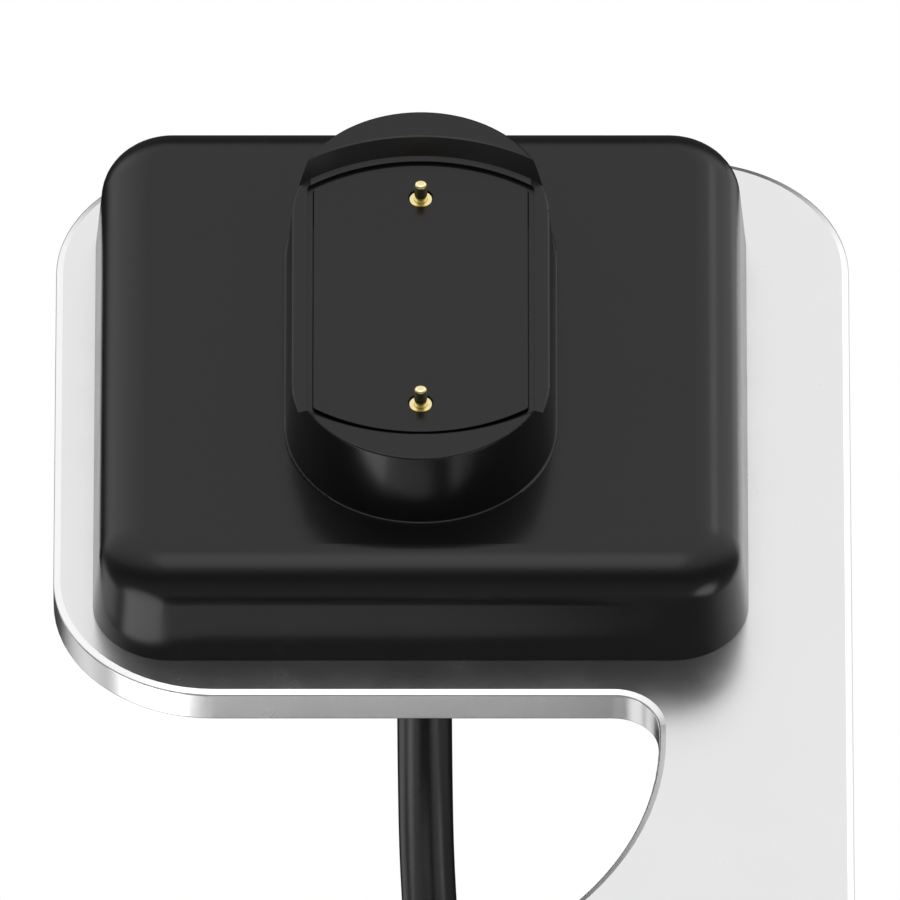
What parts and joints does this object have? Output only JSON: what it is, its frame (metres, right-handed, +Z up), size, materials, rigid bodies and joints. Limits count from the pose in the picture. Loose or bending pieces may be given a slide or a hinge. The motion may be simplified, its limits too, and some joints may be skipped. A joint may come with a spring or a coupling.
{
  "type": "smartwatch charging dock",
  "caption": "Bent aluminium stand with a leaning plate and strap opening, a square black housing with a raised watch cradle, sprung contact pins and a power lead.",
  "frame": {"origin": "centre of the stand's bounding box on the surface that the foot pads stand on, the power lead left out", "axes": "+X to the right as seen from the front, +Y to the rear, +Z up; the head plate leans back at 45 degrees"},
  "size_m": [0.0696, 0.1714, 0.0967],
  "materials": {
    "anodised_aluminium": "satin, fine bead blast",
    "silicone": "soft matte",
    "black_housing": "satin",
    "black_cradle": "satin",
    "gold_plate": "polished gold plate",
    "spring_steel": "bright wire",
    "nickel": "nickel plate",
    "board_laminate": "green solder mask",
    "board_components": "moulded and ceramic parts",
    "zinc_screws": "zinc plate",
    "black_screws": "black oxide",
    "lead_red": "smooth",
    "lead_black": "smooth",
    "soft_black": "satin",
    "cable_jacket": "satin",
    "tie_plastic": "matte",
    "plug_grip": "satin",
    "plug_steel": "nickel plate",
    "plug_white": "smooth"
  },
  "bodies": {
    "dock": {"stand": "anodised_aluminium", "foot_pad_front_left": "silicone", "foot_pad_front_right": "silicone", "foot_pad_rear_left": "silicone", "foot_pad_rear_right": "silicone", "housing_shell": "black_housing", "housing_base": "black_housing", "cradle": "black_cradle", "seat_plate": "black_cradle", "pin_barrel_upper": "gold_plate", "pin_barrel_lower": "gold_plate", "plug_contacts": "gold_plate", "pin_spring_upper": "spring_steel", "pin_spring_lower": "spring_steel", "magnet_upper": "nickel", "magnet_lower": "nickel", "circuit_board": "board_laminate", "board_parts": "board_components", "cradle_screws": "zinc_screws", "board_screws": "zinc_screws", "housing_screws": "black_screws", "lead_positive": "lead_red", "lead_negative": "lead_black", "strain_relief": "soft_black", "cable_end": "cable_jacket", "cable_lead": "cable_jacket", "cable_coil": "cable_jacket", "cable_tail": "cable_jacket", "cable_tie": "tie_plastic", "plug_overmould": "plug_grip", "plug_shell": "plug_steel", "plug_insulator": "plug_white"},
    "pin_upper": {"pin_plunger_upper": "gold_plate"},
    "pin_lower": {"pin_plunger_lower": "gold_plate"}
  },
  "joints": [
    {"name": "pin_upper_press", "type": "slide", "parent": "dock", "child": "pin_upper", "axis": [0, 0.7071, -0.7071], "range_m": [0, 0.0014], "stiffness_N_per_m": 300, "springref_m": -0.001, "deforming": ["pin_spring_upper"]},
    {"name": "pin_lower_press", "type": "slide", "parent": "dock", "child": "pin_lower", "axis": [0, 0.7071, -0.7071], "range_m": [0, 0.0014], "stiffness_N_per_m": 300, "springref_m": -0.001, "deforming": ["pin_spring_lower"]}
  ]
}
